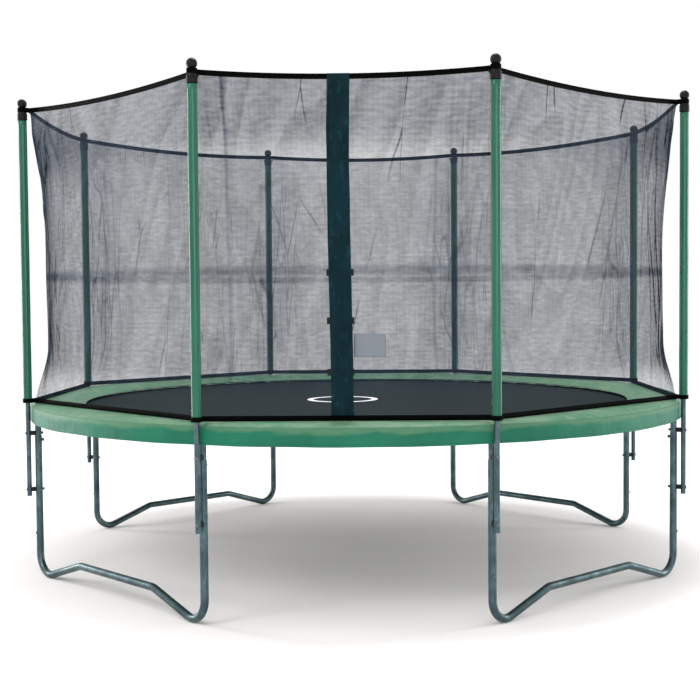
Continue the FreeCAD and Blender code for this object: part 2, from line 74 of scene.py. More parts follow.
SLEEVE_LOW, SLEEVE_TOP = node_span("foam_sleeve_1", 2)
SLEEVE_R = node_size("foam_sleeve_1", 0) / 2
CAP_LOW, CAP_TOP = node_span("pole_caps", 2)
PAD_LOW, PAD_TOP = node_span("safety_pad", 2)
PAD_OUTER_R = node_span("safety_pad", 0)[1]
PAD_INNER_R = 1.550
PAD_MIDDLE_R = 1.7
SKIRT_LOW, SKIRT_TOP = node_span("pad_skirt", 2)
MAT_LOW, MAT_TOP = node_span("jumping_mat", 2)
MAT_R = node_span("jumping_mat", 0)[1]
HEM_WIDTH = 0.045
PAD_INNER_ROLL = 0.014
PAD_OUTER_ROLL = 0.030
PAD_LIP_WIDTH = 0.050
PAD_LIP_CLEAR = 0.0045
BOTTOM_BAND_LOW, BOTTOM_BAND_TOP = node_span("bottom_webbing", 2)
BAND_HEIGHT = BOTTOM_BAND_TOP - BOTTOM_BAND_LOW
TOP_BAND_Z = node_span("top_webbing", 2)[1] - BAND_HEIGHT / 2
TOP_BAND_SAG = TOP_BAND_Z - BAND_HEIGHT / 2 - node_span("top_webbing", 2)[0]
NET_SEAM_Z = node_span("net_upper", 2)[0]
SPRING_Z = sum(node_span("springs", 2)) / 2

X_AXIS = Vector((1, 0, 0))
UP = Vector((0, 0, 1))


def pole_angle(i):
    """Angle of pole i, counted anticlockwise from the one left of the entry."""
    pairs, odd = divmod(i, 2)
    return FIRST_POLE + pairs * (OPEN_FACE + LEG_FACE) + odd * OPEN_FACE


def face_angle(i):
    return LEG_FACE if i % 2 else OPEN_FACE


def polar(radius, angle, z):
    return Vector((radius * math.cos(angle), radius * math.sin(angle), z))


def smooth(x, low, high):
    t = min(max((x - low) / (high - low), 0.0), 1.0)
    return t * t * (3 - 2 * t)


def bell(x, width):
    return math.exp(-(x / width) ** 2)


def rumple(x, y, z, seed=0.0):
    """Smooth noise between -1 and 1."""
    return noise.noise(Vector((x + 17.3 * seed, y - 9.1 * seed, z + 4.7 * seed)))


# ---- node helpers

def linear(red, green, blue):
    """Colour given on a 0 to 255 scale, as a linear colour."""
    channels = []
    for value in (red, green, blue):
        c = value / 255
        channels.append(c / 12.92 if c <= 0.04045 else ((c + 0.055) / 1.055) ** 2.4)
    return (*channels, 1.0)


class Look:
    """A material under construction: a Principled shader and its node tree."""

    def __init__(self, name, rough=0.5, metal=0.0):
        self.material = bpy.data.materials.new(name)
        self.material.use_nodes = True
        self.tree = self.material.node_tree
        self.shader = self.tree.nodes["Principled BSDF"]
        self.shader.inputs["Roughness"].default_value = rough
        self.shader.inputs["Metallic"].default_value = metal
        self.height = None

    def node(self, kind, **settings):
        made = self.tree.nodes.new(kind)
        for key, value in settings.items():
            setattr(made, key, value)
        return made

    def link(self, source, target):
        self.tree.links.new(source, target)

    def feed(self, target, value):
        if hasattr(value, "is_output"):
            self.link(value, target)
        else:
            target.default_value = value

    def place(self, scale=(1, 1, 1), uv=False, tilt=0.0):
        """Coordinates in metres, from the row frame or from the piece's own map."""
        source = self.node("ShaderNodeTexCoord")
        turn = self.node("ShaderNodeVectorRotate", rotation_type="Z_AXIS")
        turn.inputs["Angle"].default_value = tilt
        mapping = self.node("ShaderNodeMapping")
        mapping.inputs["Scale"].default_value = scale
        self.link(source.outputs["UV" if uv else "Object"], turn.inputs["Vector"])
        self.link(turn.outputs["Vector"], mapping.inputs["Vector"])
        return mapping.outputs["Vector"]

    def height_above_ground(self):
        source = self.node("ShaderNodeTexCoord")
        split = self.node("ShaderNodeSeparateXYZ")
        self.link(source.outputs["Object"], split.inputs["Vector"])
        return split.outputs["Z"]

    def distance_from_axis(self):
        made = self.node("ShaderNodeVectorMath", operation="LENGTH")
        self.link(self.place((1, 1, 0)), made.inputs[0])
        return made.outputs["Value"]

    def grain(self, scale, detail=3.0, rough=0.55, stretch=(1, 1, 1), uv=False, tilt=0.0):
        made = self.node("ShaderNodeTexNoise")
        made.inputs["Scale"].default_value = scale
        made.inputs["Detail"].default_value = detail
        made.inputs["Roughness"].default_value = rough
        self.link(self.place(stretch, uv, tilt), made.inputs["Vector"])
        return made.outputs["Fac"]

    def cracks(self, stretch, width, tilt=0.0):
        """Branching lines between stretched cells, on the piece's own map."""
        made = self.node("ShaderNodeTexVoronoi", feature="DISTANCE_TO_EDGE")
        made.inputs["Scale"].default_value = 1.0
        self.link(self.place(stretch, True, tilt), made.inputs["Vector"])
        return self.spread(made.outputs["Distance"], 0.0, width, 1.0, 0.0)

    def cells(self, scale, stretch=(1, 1, 1)):
        made = self.node("ShaderNodeTexVoronoi")
        made.inputs["Scale"].default_value = scale
        self.link(self.place(stretch), made.inputs["Vector"])
        return made.outputs["Color"]

    def waves(self, scale, direction="X", uv=True):
        made = self.node("ShaderNodeTexWave", bands_direction=direction)
        made.inputs["Scale"].default_value = scale
        self.link(self.place(uv=uv), made.inputs["Vector"])
        return made.outputs["Fac"]

    def field(self, name):
        return self.node("ShaderNodeAttribute", attribute_name=name).outputs["Fac"]

    def sum(self, operation, first, second, clamp=False):
        made = self.node("ShaderNodeMath", operation=operation, use_clamp=clamp)
        self.feed(made.inputs[0], first)
        self.feed(made.inputs[1], second)
        return made.outputs[0]

    def spread(self, value, low, high, to_low=0.0, to_high=1.0):
        made = self.node("ShaderNodeMapRange", interpolation_type="SMOOTHSTEP")
        self.feed(made.inputs["Value"], value)
        made.inputs["From Min"].default_value = low
        made.inputs["From Max"].default_value = high
        made.inputs["To Min"].default_value = to_low
        made.inputs["To Max"].default_value = to_high
        return made.outputs["Result"]

    def mix(self, factor, first, second):
        made = self.node("ShaderNodeMix", data_type="RGBA")
        self.feed(made.inputs["Factor"], factor)
        self.feed(made.inputs["A"], first)
        self.feed(made.inputs["B"], second)
        return made.outputs["Result"]

    def colour(self, value):
        self.feed(self.shader.inputs["Base Color"], value)

    def roughness(self, value):
        self.feed(self.shader.inputs["Roughness"], value)

    def bump(self, value, distance, strength=1.0):
        """Adds one layer of relief; layers stack."""
        made = self.node("ShaderNodeBump")
        made.inputs["Strength"].default_value = strength
        made.inputs["Distance"].default_value = distance
        self.link(value, made.inputs["Height"])
        if self.height is not None:
            self.link(self.height, made.inputs["Normal"])
        self.height = made.outputs["Normal"]
        self.link(self.height, self.shader.inputs["Normal"])

    def weave(self, scale, distance, strength):
        for direction in "XY":
            self.bump(self.waves(scale, direction), distance, strength)

    def set(self, **values):
        for name, value in values.items():
            self.shader.inputs[name.replace("_", " ")].default_value = value


# ---- materials

def galvanised():
    look = Look("galvanised_tube", 0.36, 0.75)
    spangle = look.cells(70, (1, 1, 0.5))
    cloud = look.grain(9, 4)
    tone = look.mix(look.spread(spangle, 0.2, 0.9), linear(66, 87, 91), linear(85, 105, 109))
    dull = look.mix(look.spread(cloud, 0.35, 0.75), tone, linear(52, 71, 76))
    look.colour(dull)
    look.roughness(look.spread(cloud, 0.3, 0.7, 0.30, 0.50))
    look.bump(look.grain(260, 2), 0.0003, 0.4)
    return look.material


def zinc():
    look = Look("zinc_fastener", 0.38, 0.9)
    look.colour(look.mix(look.grain(120, 3), linear(78, 84, 87), linear(112, 118, 120)))
    look.bump(look.grain(900, 2), 0.0001, 0.5)
    return look.material


def spring_steel():
    look = Look("spring_steel", 0.26, 0.95)
    look.colour(look.mix(look.grain(60, 3), linear(140, 143, 146), linear(180, 182, 184)))
    look.bump(look.grain(700, 2), 0.0001, 0.5)
    return look.material


def sleeve_vinyl():
    look = Look("sleeve_foam", 0.34)
    patch = look.grain(7, 3, stretch=(1, 1, 0.4))
    green = look.mix(look.spread(patch, 0.3, 0.7), linear(4, 80, 58), linear(14, 92, 70))
    scuffs = look.spread(look.grain(90, 5, 0.7), 0.62, 0.8)
    look.colour(look.mix(look.sum("MULTIPLY", scuffs, 0.6), green, linear(52, 122, 98)))
    look.roughness(look.spread(patch, 0.3, 0.7, 0.26, 0.40))
    look.bump(look.grain(420, 2), 0.0004, 0.35)
    look.bump(look.grain(26, 2), 0.0020, 0.30)
    look.set(Specular_IOR_Level=0.25, Coat_Weight=0.35, Coat_Roughness=0.16)
    return look.material


def black_plastic():
    look = Look("black_plastic", 0.42)
    look.colour(look.mix(look.grain(40, 3), linear(2, 3, 3), linear(7, 8, 8)))
    look.bump(look.grain(1500, 2), 0.00015, 0.5)
    look.set(Specular_IOR_Level=0.18)
    return look.material


def pad_vinyl():
    look = Look("pad_vinyl", 0.40)
    patch = look.grain(3.2, 4)
    # The cover's greens are paler than the same vinyl in the skirt: painted light on its top.
    green = look.mix(look.spread(patch, 0.3, 0.7), linear(72, 124, 94), linear(98, 134, 108))
    # Paler streaks, laid at random over the cover.
    pale_streaks = look.spread(look.grain(11, 5, 0.65, stretch=(1, 2.5, 1)), 0.45, 0.75)
    look.colour(look.mix(pale_streaks, green, linear(116, 142, 116)))
    look.roughness(look.spread(patch, 0.3, 0.7, 0.36, 0.52))
    look.bump(look.grain(900, 2), 0.0003, 0.35)
    look.bump(look.grain(16, 3), 0.0050, 0.40)
    look.set(Specular_IOR_Level=0.3)
    return look.material


def skirt_fabric():
    """Same vinyl as the cover; its upper part, pulled over the edge, is painted paler: painted light on
    the top of the skirt, not wear.
    """
    look = Look("skirt_fabric", 0.5)
    patch = look.grain(2.6, 3)
    deep = look.mix(look.spread(patch, 0.35, 0.65), linear(2, 90, 68), linear(12, 102, 76))
    # Painted light: a paler copy of the vinyl for the upper part, where light catches the edge.
    painted_lit_top = look.mix(look.grain(9, 4), linear(54, 106, 78), linear(78, 118, 90))
    wave = look.sum("MULTIPLY", look.grain(5, 3, 0.6, stretch=(1, 1, 3)), 0.055)
    level = look.sum("ADD", look.height_above_ground(), wave)
    # Above a wavy height the colour turns to the paler copy: painted light on the upper part.
    look.colour(look.mix(look.spread(level, 0.912, 0.932), deep, painted_lit_top))
    look.weave(380, 0.0002, 0.35)
    look.bump(look.grain(14, 3), 0.0050, 0.30)
    look.set(Specular_IOR_Level=0.25)
    return look.material


def mat_fabric():
    look = Look("mat_fabric", 0.62)
    patch = look.grain(1.6, 4)
    dark = look.mix(look.spread(patch, 0.3, 0.7), linear(6, 23, 26), linear(11, 30, 33))
    thread = look.sum("MULTIPLY", look.waves(420, "X"), look.waves(420, "Y"))
    look.colour(look.mix(look.sum("MULTIPLY", thread, 0.5), dark, linear(21, 41, 45)))
    look.bump(thread, 0.0004, 0.5)
    look.bump(look.grain(9, 3), 0.004, 0.25)
    look.set(Specular_IOR_Level=0.06)
    return look.material


def ring_print():
    look = Look("ring_print", 0.55)
    look.colour(look.mix(look.grain(160, 4), linear(236, 240, 240), linear(255, 255, 255)))
    look.bump(look.waves(420, "X", uv=False), 0.0003, 0.4)
    look.set(Specular_IOR_Level=0.2)
    return look.material


def webbing():
    look = Look("black_webbing", 0.6)
    ribs = look.waves(150, "DIAGONAL")
    look.colour(look.mix(ribs, linear(1, 1, 1), linear(5, 6, 6)))
    look.bump(ribs, 0.0006, 0.6)
    look.bump(look.waves(30, "Y"), 0.0004, 0.3)
    look.set(Specular_IOR_Level=0.02)
    return look.material


def flap_fabric():
    look = Look("flap_fabric", 0.55)
    patch = look.grain(9, 4)
    teal = look.mix(look.spread(patch, 0.3, 0.7), linear(4, 28, 34), linear(8, 36, 43))
    # Painted highlight: paler stretched streaks stand in for light catching the wrinkles.
    painted_wrinkle_highlight = look.spread(look.grain(16, 5, 0.6, stretch=(2.6, 1, 1)), 0.56, 0.66)
    look.colour(look.mix(look.sum("MULTIPLY", painted_wrinkle_highlight, 0.7), teal, linear(16, 52, 60)))
    look.weave(500, 0.0002, 0.4)
    look.bump(look.grain(26, 3), 0.004, 0.35)
    look.set(Specular_IOR_Level=0.06)
    return look.material


def net_mesh():
    """Knitted mesh of dark thread: it hides part of what is behind, more so where it is creased. Its
    colour carries painted light and shade of the folds.
    """
    look = Look("net_mesh", 0.85)
    fibre = look.grain(1.0, 4, 0.6, stretch=(17, 52, 1), uv=True)
    patch = look.grain(1.0, 3, 0.5, stretch=(2.6, 3.4, 1), uv=True)
    # Sharp-edged fold pattern: it paints the light and shade of the drapes into the thread colour, and
    # also varies the cover and the relief.
    level = look.grain(1.0, 1, 0.4, stretch=(2.3, 0.62, 1), uv=True, tilt=0.35)
    phase = look.sum("FRACT", look.sum("MULTIPLY", level, 8.0), 0.0)
    drape_and_painted_light = look.sum("MULTIPLY", look.spread(phase, 0.0, 0.22), look.sum("SUBTRACT", 1.0, phase))
    rows = look.waves(12, "Y")
    columns = look.waves(12, "X")
    crease = look.cracks((2.6, 0.36, 1), 0.008, tilt=0.05)
    crease = look.sum("MULTIPLY", crease, look.spread(look.grain(2.2, 1, uv=True), 0.50, 0.62))
    crease = look.sum("MULTIPLY", crease, 0.7)
    gathered = look.cracks((17, 1.4, 1), 0.050, tilt=0.06)
    gathered = look.sum("MULTIPLY", gathered, look.spread(look.grain(2.6, 1, uv=True), 0.40, 0.56))
    gathered = look.sum("MAXIMUM", gathered, look.cracks((7, 0.6, 1), 0.035, tilt=-0.05))
    gathered = look.sum("MULTIPLY", gathered, look.field("gather"))
    # Creases and gathers: they stop more light, and their darker thread colour is painted shade in the
    # folds.
    folds_and_painted_shade = look.sum("MAXIMUM", crease, gathered)

    thread = look.mix(look.spread(patch, 0.35, 0.65), linear(18, 25, 34), linear(28, 29, 33))
    # Painted light and shade of the folds: the thread turns paler where the fold pattern is low.
    thread = look.mix(look.sum("MULTIPLY", drape_and_painted_light, 0.7), linear(49, 59, 74), thread)
    # Painted shade: thread is darker in the creases and gathers.
    look.colour(look.mix(folds_and_painted_shade, thread, linear(14, 13, 14)))

    cover = look.field("cover")
    cover = look.sum("ADD", cover, look.spread(fibre, 0.34, 0.66, -0.055, 0.055))
    cover = look.sum("ADD", cover, look.spread(drape_and_painted_light, 0.0, 0.8, -0.030, 0.040))
    cover = look.sum("ADD", cover, look.spread(rows, 0.4, 1.0, 0.0, 0.025))
    cover = look.sum("ADD", cover, look.spread(columns, 0.4, 1.0, 0.0, 0.025))
    cover = look.sum("ADD", cover, look.sum("MULTIPLY", look.field("gather"), 0.22))
    cover = look.sum("ADD", cover, look.sum("MULTIPLY", folds_and_painted_shade, 0.42))
    cover = look.sum("ADD", cover, look.sum("MULTIPLY", look.field("seam"), 0.20))
    cover = look.sum("MULTIPLY", cover, look.field("open"), clamp=True)
    look.feed(look.shader.inputs["Alpha"], cover)
    look.bump(fibre, 0.004, 0.5)
    look.bump(drape_and_painted_light, 0.03, 0.5)
    look.set(Specular_IOR_Level=0.03)
    return look.material


def patch_fabric():
    look = Look("blank_patch", 0.6)
    look.colour(look.mix(look.grain(300, 3), linear(106, 111, 118), linear(122, 127, 134)))
    look.bump(look.grain(600, 2), 0.0002, 0.5)
    look.set(Specular_IOR_Level=0.1)
    return look.material


def zip_teeth():
    look = Look("zip_teeth", 0.4)
    look.colour(look.mix(look.grain(400, 2), linear(16, 20, 20), linear(34, 38, 38)))
    return look.material


def floor_white():
    look = Look("floor", 0.9)
    # Painted shadow tone: the floor is warm and a little darker near the middle, where the shadow
    # falls, and white further out.
    painted_shadow_tint = look.mix(look.grain(2, 2), linear(252, 248, 247), linear(254, 250, 249))
    look.colour(look.mix(look.spread(look.distance_from_axis(), 1.6, 3.6), painted_shadow_tint, (1, 1, 1, 1)))
    look.set(Specular_IOR_Level=0.0)
    return look.material


GALVANISED = galvanised()
ZINC = zinc()
SPRING_STEEL = spring_steel()
SLEEVE_VINYL = sleeve_vinyl()
BLACK_PLASTIC = black_plastic()
PAD_VINYL = pad_vinyl()
SKIRT_FABRIC = skirt_fabric()
MAT_FABRIC = mat_fabric()
RING_PRINT = ring_print()
WEBBING = webbing()
FLAP_FABRIC = flap_fabric()
NET_MESH = net_mesh()
PATCH_FABRIC = patch_fabric()
TEETH = zip_teeth()
FLOOR_WHITE = floor_white()


# ---- mesh helpers

def add_object(name, data):
    made = bpy.data.objects.new(name, data)
    bpy.context.scene.collection.objects.link(made)
    return made


def build(name, points, faces, material, uvs=None, fields=None):
    """Mesh object from point and face lists, smooth shaded, with optional map and fields."""
    mesh = bpy.data.meshes.new(name)
    mesh.from_pydata([tuple(p) for p in points], [], faces)
    if uvs is not None:
        layer = mesh.uv_layers.new(name="UVMap")
        for loop in mesh.loops:
            layer.data[loop.index].uv = uvs[loop.vertex_index]
    for key, values in (fields or {}).items():
        mesh.attributes.new(key, "FLOAT", "POINT").data.foreach_set("value", values)
    mesh.polygons.foreach_set("use_smooth", [True] * len(mesh.polygons))
    mesh.materials.append(material)
    mesh.update()
    return add_object(name, mesh)


def grid_faces(columns, rows, wrap_columns=False, wrap_rows=False):
    """Quads of a grid whose points run row by row."""
    faces = []
    for j in range(rows if wrap_rows else rows - 1):
        for i in range(columns if wrap_columns else columns - 1):
            a = j * columns + i
            b = j * columns + (i + 1) % columns
            up = ((j + 1) % rows) * columns
            faces.append((a, b, up + (i + 1) % columns, up + i))
    return faces


def end_faces(columns, rows):
    """The two faces that close the first and last row of a wrapped grid."""
    last = (rows - 1) * columns
    return [tuple(reversed(range(columns))), tuple(range(last, last + columns))]


def solidify(piece, thickness):
    made = piece.modifiers.new("thickness", "SOLIDIFY")
    made.thickness = thickness
    made.offset = 0.0
    made.use_even_offset = False
    return piece


def lathe(name, outline, centre, material, sides=40, shape=None):
    """Outline of (radius, z) turned about the upright axis through centre, closed at both ends."""
    points = []
    for radius, z in outline:
        for k in range(sides):
            angle = 2 * math.pi * k / sides
            r = radius + (shape(angle, z) if shape else 0.0)
            points.append(Vector((centre.x, centre.y, 0)) + polar(r, angle, z))
    faces = grid_faces(sides, len(outline), wrap_columns=True)
    faces += end_faces(sides, len(outline))
    return build(name, points, faces, material)


def arc_outline(points, radii, steps=5):
    """Outline with each inner corner rounded to its radius."""
    rounded = [points[0]]
    for k in range(1, len(points) - 1):
        corner = Vector(points[k])
        back = Vector(points[k - 1]) - corner
        ahead = Vector(points[k + 1]) - corner
        if radii[k - 1] == 0:
            rounded.append(tuple(corner))
            continue
        start = corner + back.normalized() * radii[k - 1]
        end = corner + ahead.normalized() * radii[k - 1]
        for s in range(steps + 1):
            t = s / steps
            rounded.append(tuple(start.lerp(corner, t).lerp(corner.lerp(end, t), t)))
    rounded.append(points[-1])
    return rounded


def strap(name, path, across, width, thickness, material, closed=False):
    """Flat strap along a path. across gives the direction of its width at each point."""
    half_w = width / 2
    half_t = thickness / 2
    soft = half_t * 0.6
    profile = [
        (-half_w, -half_t + soft), (-half_w + soft, -half_t), (half_w - soft, -half_t),
        (half_w, -half_t + soft), (half_w, half_t - soft), (half_w - soft, half_t),
        (-half_w + soft, half_t), (-half_w, half_t - soft),
    ]
    count = len(path)
    points = []
    uvs = []
    run = 0.0
    for k in range(count):
        before = path[k - 1] if closed or k else path[0]
        after = path[(k + 1) % count] if closed or k < count - 1 else path[-1]
        along = (after - before).normalized()
        wide = across[k].normalized()
        out = along.cross(wide).normalized()
        if k:
            run += (path[k] - path[k - 1]).length
        for w, t in profile:
            points.append(path[k] + wide * w + out * t)
            uvs.append((run, w))
    faces = grid_faces(len(profile), count, wrap_columns=True, wrap_rows=closed)
    if not closed:
        faces += end_faces(len(profile), count)
    return build(name, points, faces, material, uvs)


def tube(name, path, radius, material, sides=8):
    """Round wire along a path, closed at its ends, with a steady frame."""
    points = []
    side = None
    for k, place in enumerate(path):
        before = path[max(k - 1, 0)]
        after = path[min(k + 1, len(path) - 1)]
        along = (after - before).normalized()
        if side is None:
            side = along.orthogonal().normalized()
        side = (side - along * side.dot(along)).normalized()
        other = along.cross(side)
        for s in range(sides):
            angle = 2 * math.pi * s / sides
            points.append(place + (side * math.cos(angle) + other * math.sin(angle)) * radius)
    faces = grid_faces(sides, len(path), wrap_columns=True)
    faces += end_faces(sides, len(path))
    return build(name, points, faces, material)


def join(name, pieces):
    """One object from several pieces that share a material."""
    material = pieces[0].data.materials[0]
    shell = bmesh.new()
    for piece in pieces:
        shell.from_mesh(piece.data)
        bpy.data.objects.remove(piece)
    return from_shell(name, shell, material)


def from_shell(name, shell, material):
    """Object from a finished bmesh, which this frees."""
    mesh = bpy.data.meshes.new(name)
    shell.to_mesh(mesh)
    shell.free()
    mesh.materials.append(material)
    return add_object(name, mesh)


def on_body(body, piece, slot_name, *nodes):
    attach(piece, body)
    if nodes:
        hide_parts(*nodes)
    return piece


def on_frame(piece, slot_name, *nodes):
    return on_body("frame", piece, slot_name, *nodes)


# ---- hard parts

CAD_LOOKS = (
    ("leg_screws", ZINC),
    ("leg_", GALVANISED),
    ("frame_rail", GALVANISED),
    ("pole_lower", GALVANISED),
    ("pole_upper", GALVANISED),
    ("clamp_spacers", BLACK_PLASTIC),
    ("clamp_", ZINC),
    ("v_rings", SPRING_STEEL),
    ("buckle_", BLACK_PLASTIC),
    ("zip_slider", BLACK_PLASTIC),
)
SOFT_EDGED = (
    "clamp_spacers", "clamp_nuts", "zip_slider", "buckle_sockets",
    "buckle_tongue_top", "buckle_tongue_middle", "buckle_tongue_bottom",
)
SOFT_EDGE = 0.0012


def finish_cad_nodes():
    """Materials and softened edges for the nodes whose shape is shown as it is."""
    for name, piece in NODES.items():
        for start, material in CAD_LOOKS:
            if name.startswith(start):
                piece.data.materials.clear()
                piece.data.materials.append(material)
                break
    for name in SOFT_EDGED:
        soft = NODES[name].modifiers.new("soft_edges", "BEVEL")
        soft.width = SOFT_EDGE
        soft.segments = 2
        soft.limit_method = "ANGLE"


def pole_axis(i):
    low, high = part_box("foam_sleeve_%d" % (i + 1))
    return Vector(((low[0] + high[0]) / 2, (low[1] + high[1]) / 2, 0))


def make_sleeves():
    """Foam sleeves: slightly uneven, with softened ends and a glued slit down the back."""
    round_end = 0.005
    bore_r = 0.0132
    relief = 0.0007
    rows = 70
    length = SLEEVE_TOP - SLEEVE_LOW
    for i in range(POLES):
        centre = pole_axis(i)
        slit_at = pole_angle(i) + math.pi

        def shape(angle, z):
            turn = (angle - slit_at + math.pi) % (2 * math.pi) - math.pi
            slit = -0.0012 * bell(turn * SLEEVE_R, 0.0022)
            return slit + relief * rumple(math.cos(angle), math.sin(angle), z * 7, i)

        outline = [(bore_r, SLEEVE_LOW), (SLEEVE_R - round_end, SLEEVE_LOW)]
        for k in range(rows + 1):
            z = SLEEVE_LOW + round_end + (length - 2 * round_end) * k / rows
            outline.append((SLEEVE_R - relief, z))
        outline += [(SLEEVE_R - round_end, SLEEVE_TOP), (bore_r, SLEEVE_TOP)]
        piece = lathe("sleeve_%d" % (i + 1), outline, centre, SLEEVE_VINYL, 56, shape)
        on_frame(piece, "sleeve_foam", "foam_sleeve_%d" % (i + 1))


def cap_outline():
    """Half section of a cap: bore edge, skirt, shoulder, neck and ball."""
    bore_r = 0.0135
    skirt_r = 0.0258
    neck_r = 0.0160
    ball_r = 0.0250
    edge = 0.0015
    skirt_top = CAP_LOW + 0.031
    neck_low = CAP_LOW + 0.059
    ball_z = CAP_TOP - ball_r
    neck_drop = 0.0192
    neck_turn = math.asin(neck_drop / ball_r)
    outline = arc_outline(
        [(bore_r, CAP_LOW), (skirt_r - edge, CAP_LOW), (skirt_r, CAP_LOW + edge),
         (skirt_r, skirt_top), (neck_r, neck_low),
         (neck_r, ball_z - neck_drop)],
        [0, 0.001, 0.006, 0.005])
    steps = 15
    for k in range(1, steps):
        rise = -neck_turn + (math.pi / 2 + neck_turn) * k / steps
        outline.append((ball_r * math.cos(rise), ball_z + ball_r * math.sin(rise)))
    outline.append((0.0004, CAP_TOP))
    return outline, skirt_r


def make_caps():
    """Ball-topped caps, each with two lugs on its skirt that hold the loop strap."""
    outline, skirt_r = cap_outline()
    for i in range(POLES):
        centre = pole_axis(i)
        parts = [lathe("cap", outline, centre, BLACK_PLASTIC, 48)]
        for side in (-1, 1):
            angle = pole_angle(i) + side * math.radians(100)
            base = centre + polar(skirt_r - 0.002, angle, CAP_LOW + 0.026)
            tip = centre + polar(skirt_r + 0.005, angle, CAP_LOW + 0.033)
            route = [base, base.lerp(tip, 0.5), tip, tip + UP * 0.006]
            parts.append(tube("lug", route, 0.0032, BLACK_PLASTIC, 10))
        on_frame(join("cap_%d" % (i + 1), parts), "black_plastic", "pole_caps")


def make_springs():
    """Close-wound tension springs with a hook at each end, one piece per spring."""
    coil_r = 0.0084
    wire_r = 0.0016
    turns = 33
    per_turn = 12
    inner_r = 1.6345
    coil_from = 1.655
    coil_to = 1.775
    outer_r = 1.7955
    hook_steps = 6
    hook_bend = math.pi * 1.15
    hook_drop = 0.005
    inner_hook = 0.0075
    outer_hook = 0.0095
    for k in range(SPRINGS):
        angle = 2 * math.pi * (k + 0.5) / SPRINGS
        turn = Matrix.Rotation(angle, 4, "Z")
        path = []
        for s in range(hook_steps + 1):
            bend = hook_bend * (1 - s / hook_steps)
            along = inner_r + inner_hook * (1 - math.cos(bend * 0.8))
            path.append(Vector((along, 0, SPRING_Z - hook_drop * math.sin(bend))))
        for s in range(turns * per_turn + 1):
            spin = 2 * math.pi * s / per_turn
            along = coil_from + (coil_to - coil_from) * s / (turns * per_turn)
            grow = min(1.0, s / 6, (turns * per_turn - s) / 6)
            path.append(Vector((along, coil_r * math.sin(spin) * grow,
                                SPRING_Z + coil_r * math.cos(spin) * grow)))
        for s in range(hook_steps + 1):
            bend = hook_bend * s / hook_steps
            along = outer_r - outer_hook * (1 + math.cos(bend * 0.8))
            path.append(Vector((along, 0, SPRING_Z - hook_drop * math.sin(bend))))
        path = [turn @ p for p in path]
        piece = tube("spring_%02d" % (k + 1), path, wire_r, SPRING_STEEL, 6)
        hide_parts("springs")
        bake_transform(piece)


# ---- bed

def make_mat():
    """Woven mat with a faint hang, its sewn hem and the printed target ring."""
    rings = 40
    columns = 144
    points = []
    uvs = []
    for j in range(rings):
        radius = 0.02 + (MAT_R - 0.02) * j / (rings - 1)
        for i in range(columns):
            angle = 2 * math.pi * i / columns
            place = polar(radius, angle, 0)
            wave = 0.0012 * rumple(place.x * 2.2, place.y * 2.2, 0.0, 3)
            place.z = (MAT_LOW + MAT_TOP) / 2 + wave * (1 - smooth(radius, 1.4, 1.58))
            points.append(place)
            uvs.append((place.x, place.y))
    faces = grid_faces(columns, rings, wrap_columns=True)
    faces.append(tuple(reversed(range(columns))))
    mat = solidify(build("mat_cloth", points, faces, MAT_FABRIC, uvs), MAT_TOP - MAT_LOW - 0.0004)
    on_body("mat", mat, "mat_fabric", "jumping_mat")
    hem = make_hem()
    tabs = make_ring_tabs()
    ring = make_target_ring()


def make_hem():
    """Webbing sewn round the edge of the mat, raised a little where each V-ring is caught."""
    columns = SPRINGS * 10
    path_rows = [(0.0, 0.0004), (0.001, 0.0022), (0.012, 0.0026), (0.0225, 0.0020),
                 (0.033, 0.0026), (0.044, 0.0022), (HEM_WIDTH, 0.0004),
                 (HEM_WIDTH, 0.0002), (0.0, 0.0002)]
    points = []
    uvs = []
    for inset, height in path_rows:
        for i in range(columns):
            angle = 2 * math.pi * i / columns
            wave = math.cos(SPRINGS * (angle - math.pi / SPRINGS))
            lift = 0.0004 * wave if 0 < inset < HEM_WIDTH else 0.0
            points.append(polar(MAT_R - inset, angle, MAT_TOP + height + lift))
            uvs.append((angle * MAT_R, inset))
    faces = grid_faces(columns, len(path_rows), wrap_columns=True, wrap_rows=True)
    hem = build("mat_edge_webbing", points, faces, WEBBING, uvs)
    return on_body("mat", hem, "black_webbing", "mat_hem")


def make_ring_tabs():
    """Webbing tabs under the edge of the mat, each sewn over the base of a V-ring."""
    ring_low = node_span("v_rings", 2)[0]
    ring_base = 1.588
    route = [
        (ring_base - 0.040, MAT_LOW - 0.0008), (ring_base - 0.018, MAT_LOW - 0.0010),
        (ring_base - 0.007, ring_low - 0.0004), (ring_base, ring_low - 0.0012),
        (ring_base + 0.006, ring_low - 0.0002), (MAT_R - 0.001, MAT_LOW - 0.0006),
    ]
    tabs = []
    for k in range(SPRINGS):
        angle = 2 * math.pi * (k + 0.5) / SPRINGS
        path = [polar(radius, angle, z) for radius, z in route]
        tabs.append(strap("tab", path, [polar(1, angle + math.pi / 2, 0)] * len(path),
                          0.026, 0.0010, WEBBING))
    return on_body("mat", join("v_ring_tabs", tabs), "black_webbing")


def make_target_ring():
    """Thin printed ring round the middle of the mat."""
    centre = Vector((-0.08, 0.0, 0.0))
    outer = 0.207
    inner = 0.171
    edge = 0.001
    thick = 0.0008
    columns = 120
    points = []
    for radius, height in ((outer, 0.0), (outer - edge, thick), (inner + edge, thick), (inner, 0.0)):
        for i in range(columns):
            points.append(centre + polar(radius, 2 * math.pi * i / columns, MAT_TOP + height))
    faces = grid_faces(columns, 4, wrap_columns=True, wrap_rows=True)
    ring = build("target_ring", points, faces, RING_PRINT)
    return on_body("mat", ring, "mat_fabric")


def seam_distance(angle):
    """Distance round the pad's middle from the nearest seam, which lie at the poles."""
    nearest = min(abs((angle - pole_angle(i) + math.pi) % (2 * math.pi) - math.pi)
                  for i in range(POLES))
    return nearest * PAD_MIDDLE_R


